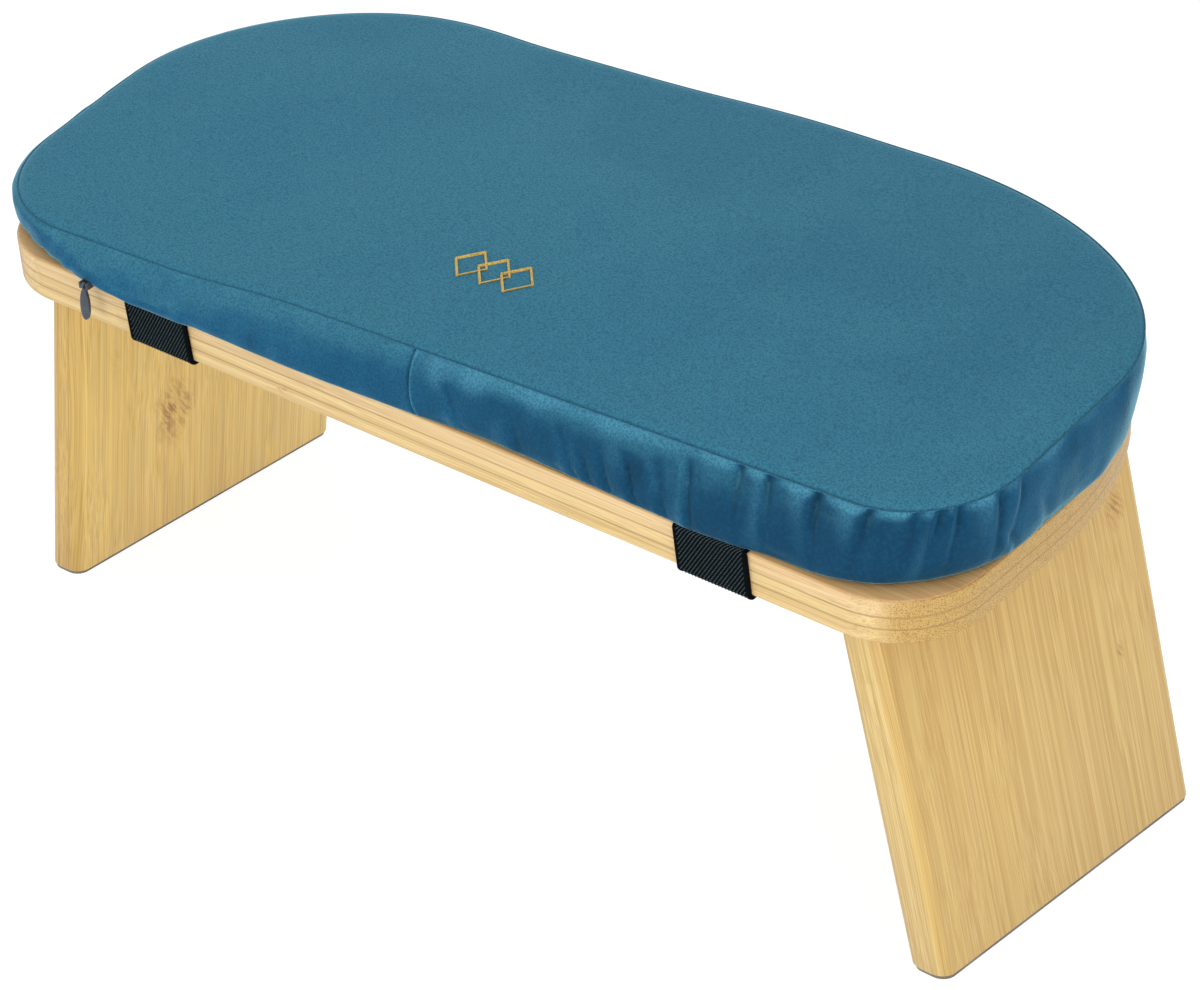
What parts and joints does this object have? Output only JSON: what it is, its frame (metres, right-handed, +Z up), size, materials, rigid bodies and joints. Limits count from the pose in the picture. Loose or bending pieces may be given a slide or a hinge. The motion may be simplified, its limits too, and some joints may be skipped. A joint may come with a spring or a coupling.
{
  "type": "folding meditation bench",
  "caption": "Low folding kneeling bench: a sloping rounded bamboo seat on two splayed legs that hinge in flat under it, with a boxed velvet cushion held on by elastic straps.",
  "frame": {"origin": "on the floor, at the middle of the whole bench's length and depth", "axes": "+X along the bench to the right of a person who faces its low front edge, +Y to its high back edge, +Z up"},
  "size_m": [0.4692, 0.2098, 0.2177],
  "materials": {
    "bamboo": "satin lacquered laminated bamboo",
    "velvet": "short-pile velvet",
    "foam": "open-cell foam",
    "elastic": "woven elastic band",
    "hinge_steel": "zinc-plated steel",
    "screw_steel": "zinc-plated steel",
    "zip_grey": "dark grey satin",
    "zip_black": "matte",
    "grip_rubber": "matte anti-slip strip"
  },
  "bodies": {
    "seat": {"seat_board": "bamboo", "foam_pad": "foam", "cover_top_panel": "velvet", "cover_side_band": "velvet", "cover_bottom_panel": "velvet", "zip_chain": "zip_black", "strap_left": "elastic", "hinge_seat_leaf_left_front": "hinge_steel", "hinge_pin_left_front": "hinge_steel", "screw_seat_left_front_a": "screw_steel", "screw_seat_left_front_b": "screw_steel", "hinge_seat_leaf_left_back": "hinge_steel", "hinge_pin_left_back": "hinge_steel", "screw_seat_left_back_a": "screw_steel", "screw_seat_left_back_b": "screw_steel", "strap_right": "elastic", "hinge_seat_leaf_right_front": "hinge_steel", "hinge_pin_right_front": "hinge_steel", "screw_seat_right_front_a": "screw_steel", "screw_seat_right_front_b": "screw_steel", "hinge_seat_leaf_right_back": "hinge_steel", "hinge_pin_right_back": "hinge_steel", "screw_seat_right_back_a": "screw_steel", "screw_seat_right_back_b": "screw_steel"},
    "left_leg": {"leg_left": "bamboo", "foot_strip_left": "grip_rubber", "hinge_leg_leaf_left_front": "hinge_steel", "screw_leg_left_front_a": "screw_steel", "screw_leg_left_front_b": "screw_steel", "hinge_leg_leaf_left_back": "hinge_steel", "screw_leg_left_back_a": "screw_steel", "screw_leg_left_back_b": "screw_steel"},
    "right_leg": {"leg_right": "bamboo", "foot_strip_right": "grip_rubber", "hinge_leg_leaf_right_front": "hinge_steel", "screw_leg_right_front_a": "screw_steel", "screw_leg_right_front_b": "screw_steel", "hinge_leg_leaf_right_back": "hinge_steel", "screw_leg_right_back_a": "screw_steel", "screw_leg_right_back_b": "screw_steel"},
    "zip_slider": {"zip_slider": "zip_black"},
    "zip_puller": {"zip_puller": "zip_grey"}
  },
  "joints": [
    {"name": "left_leg_fold", "type": "hinge", "parent": "seat", "child": "left_leg", "pos_m": [-0.17318, -0.01132, 0.14805], "axis": [0, -0.9949, -0.1011], "range_deg": [0, 100]},
    {"name": "right_leg_fold", "type": "hinge", "parent": "seat", "child": "right_leg", "pos_m": [0.18441, -0.01132, 0.14805], "axis": [0, 0.9949, 0.1011], "range_deg": [0, 100]},
    {"name": "zip_slider_travel", "type": "slide", "parent": "seat", "child": "zip_slider", "axis": [-0.9998, -0.0174, -0.0018], "range_m": [0, 0.011]},
    {"name": "zip_puller_swing", "type": "hinge", "parent": "zip_slider", "child": "zip_puller", "pos_m": [-0.15606, -0.10354, 0.1616], "axis": [-0.9998, -0.0174, -0.0018], "range_deg": [0, 115]}
  ]
}
